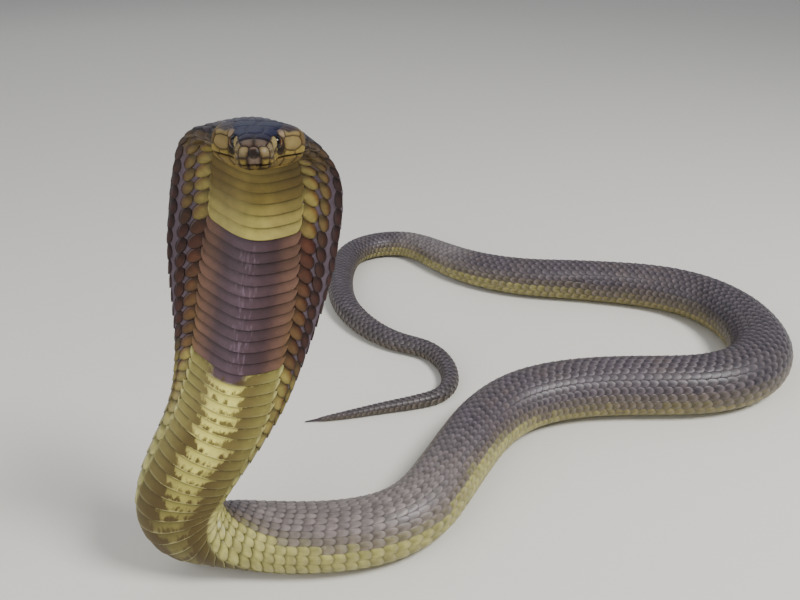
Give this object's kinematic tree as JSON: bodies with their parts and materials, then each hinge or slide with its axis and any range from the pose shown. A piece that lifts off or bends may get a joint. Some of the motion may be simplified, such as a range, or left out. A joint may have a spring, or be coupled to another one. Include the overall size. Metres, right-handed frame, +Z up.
{
  "type": "egyptian cobra",
  "caption": "Life-size Egyptian cobra with its front raised, hood spread and head held level, the rest of its body and tail lying on the floor in loose loops.",
  "frame": {"origin": "centre of the bounding box in plan, on the floor that the belly lies on", "axes": "+Z up from the floor; the head looks along -Y, a little towards +X; the snake's left side is towards +X at the hood"},
  "size_m": [0.477, 0.5191, 0.2731],
  "materials": {
    "head_scales": "glossy",
    "jaw_scales": "satin",
    "hood_scales": "satin",
    "belly_scutes": "satin",
    "back_scales": "satin",
    "eye_gloss": "glossy"
  },
  "bodies": {
    "root": {"head": "head_scales", "lower_jaw": "jaw_scales", "eye_left": "eye_gloss", "eye_right": "eye_gloss", "nape": "hood_scales", "hood_upper": "hood_scales", "hood_lower": "hood_scales", "neck": "belly_scutes", "neck_bend_upper": "belly_scutes", "neck_bend_lower": "belly_scutes", "torso_1": "back_scales", "torso_2": "back_scales", "torso_3": "back_scales", "torso_4": "back_scales", "torso_5": "back_scales", "torso_6": "back_scales", "torso_7": "back_scales", "torso_8": "back_scales", "torso_9": "back_scales", "torso_10": "back_scales", "torso_11": "back_scales", "torso_12": "back_scales", "torso_13": "back_scales", "torso_14": "back_scales", "tail_1": "back_scales", "tail_2": "back_scales", "tail_3": "back_scales", "tail_4": "back_scales", "tail_5": "back_scales"}
  },
  "joints": []
}
